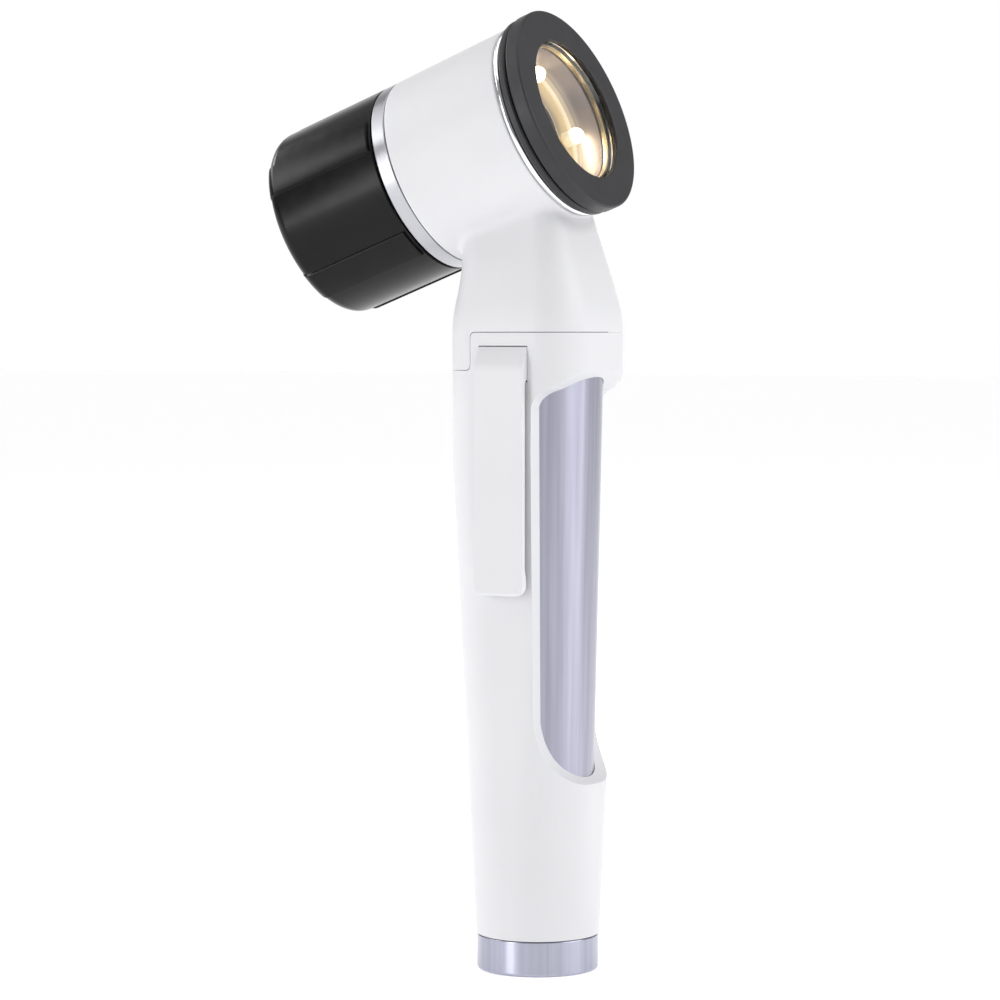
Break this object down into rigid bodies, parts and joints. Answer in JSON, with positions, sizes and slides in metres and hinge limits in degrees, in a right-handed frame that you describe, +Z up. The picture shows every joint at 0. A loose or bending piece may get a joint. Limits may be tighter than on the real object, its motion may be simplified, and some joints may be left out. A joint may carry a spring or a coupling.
{
  "type": "pocket skin magnifier",
  "caption": "Upright battery handle with pocket clip and window, and a tilted round head with a ribbed focusing ring, lit lenses and a removable contact ring.",
  "frame": {"origin": "centre of the end cap's flat bottom, on the handle's axis", "axes": "+Z up the handle, +X towards the contact ring (skin side), the pocket clip on the -Y side"},
  "size_m": [0.0675, 0.039, 0.1779],
  "materials": {
    "white_plastic": "smooth moulded, soft gloss",
    "black_plastic": "moulded, satin",
    "black_rubber": "matt seal",
    "satin_aluminium": "brushed and anodised",
    "chrome_trim": "polished",
    "spring_steel": "nickel plated",
    "brass_contacts": "turned",
    "grey_plastic": "moulded, satin",
    "cell_can": "plain sleeve over a can",
    "circuit_board": "white solder mask",
    "lens_glass": "polished, coated",
    "lamp_dome": "clear dome, lit warm white"
  },
  "bodies": {
    "handle": {"handle_casing": "white_plastic", "battery_barrel": "satin_aluminium", "battery_liner": "grey_plastic", "cell_lower": "cell_can", "cell_upper": "cell_can", "contact_holder": "grey_plastic", "top_contact": "brass_contacts", "clip_pin": "spring_steel", "clip_spring": "spring_steel", "switch_body": "grey_plastic"},
    "cap_contact": {"contact_plate": "brass_contacts", "battery_spring": "spring_steel"},
    "end_cap": {"end_cap": "satin_aluminium", "cap_seal": "black_rubber"},
    "clip": {"pocket_clip": "white_plastic"},
    "switch": {"switch_plunger": "black_plastic"},
    "head": {"head_housing": "white_plastic", "neck_plug": "grey_plastic", "contact_pin": "brass_contacts", "driver_board": "circuit_board", "trim_band": "satin_aluminium", "trim_bead": "chrome_trim", "inner_barrel": "grey_plastic", "ring_seat": "black_plastic", "light_cone": "satin_aluminium", "led_board": "circuit_board", "led_lower": "lamp_dome", "led_right": "lamp_dome", "led_upper": "lamp_dome", "led_left": "lamp_dome"},
    "contact": {"contact_ring": "black_plastic", "contact_glass": "lens_glass", "glass_retainer": "satin_aluminium"},
    "focus": {"focus_ring": "black_plastic"},
    "lens": {"lens_carrier": "black_plastic", "lens_front": "lens_glass", "lens_spacer": "black_plastic", "lens_rear": "lens_glass", "lens_retainer": "brass_contacts", "cam_pin_lower": "spring_steel", "cam_pin_upper": "spring_steel"}
  },
  "joints": [
    {"name": "head_release", "type": "slide", "parent": "handle", "child": "head", "axis": [0, 0, 1], "range_m": [0, 0.02]},
    {"name": "focus_turn", "type": "hinge", "parent": "head", "child": "focus", "pos_m": [0, 0, 0.1567], "axis": [0.9354, 0, 0.3535], "range_deg": [-60, 60]},
    {"name": "lens_travel", "type": "slide", "parent": "head", "child": "lens", "axis": [0.9354, 0, 0.3535], "range_m": [-0.002, 0.002]},
    {"name": "contact_ring_pull", "type": "slide", "parent": "head", "child": "contact", "axis": [0.9354, 0, 0.3535], "range_m": [0, 0.012]},
    {"name": "clip_rock", "type": "hinge", "parent": "handle", "child": "clip", "pos_m": [0, -0.01275, 0.1115], "axis": [-1, 0, 0], "range_deg": [0, 6], "stiffness_Nm_per_rad": 0.5, "springref_deg": -2.86},
    {"name": "switch_press", "type": "slide", "parent": "handle", "child": "switch", "axis": [0, 1, 0], "range_m": [0, 0.0004]},
    {"name": "cap_travel", "type": "slide", "parent": "handle", "child": "cap_contact", "axis": [0, 0, -1], "range_m": [0, 0.006]},
    {"name": "cap_turn", "type": "hinge", "parent": "cap_contact", "child": "end_cap", "pos_m": [0, 0, 0], "axis": [0, 0, -1], "range_deg": [0, 1440]}
  ],
  "couplings": [
    {"joint": "focus_turn", "follows": "lens_travel", "rad_per_m": 523.6},
    {"joint": "switch_press", "follows": "clip_rock", "m_per_rad": 0.0034},
    {"joint": "cap_turn", "follows": "cap_travel", "rad_per_m": 4188.8}
  ]
}
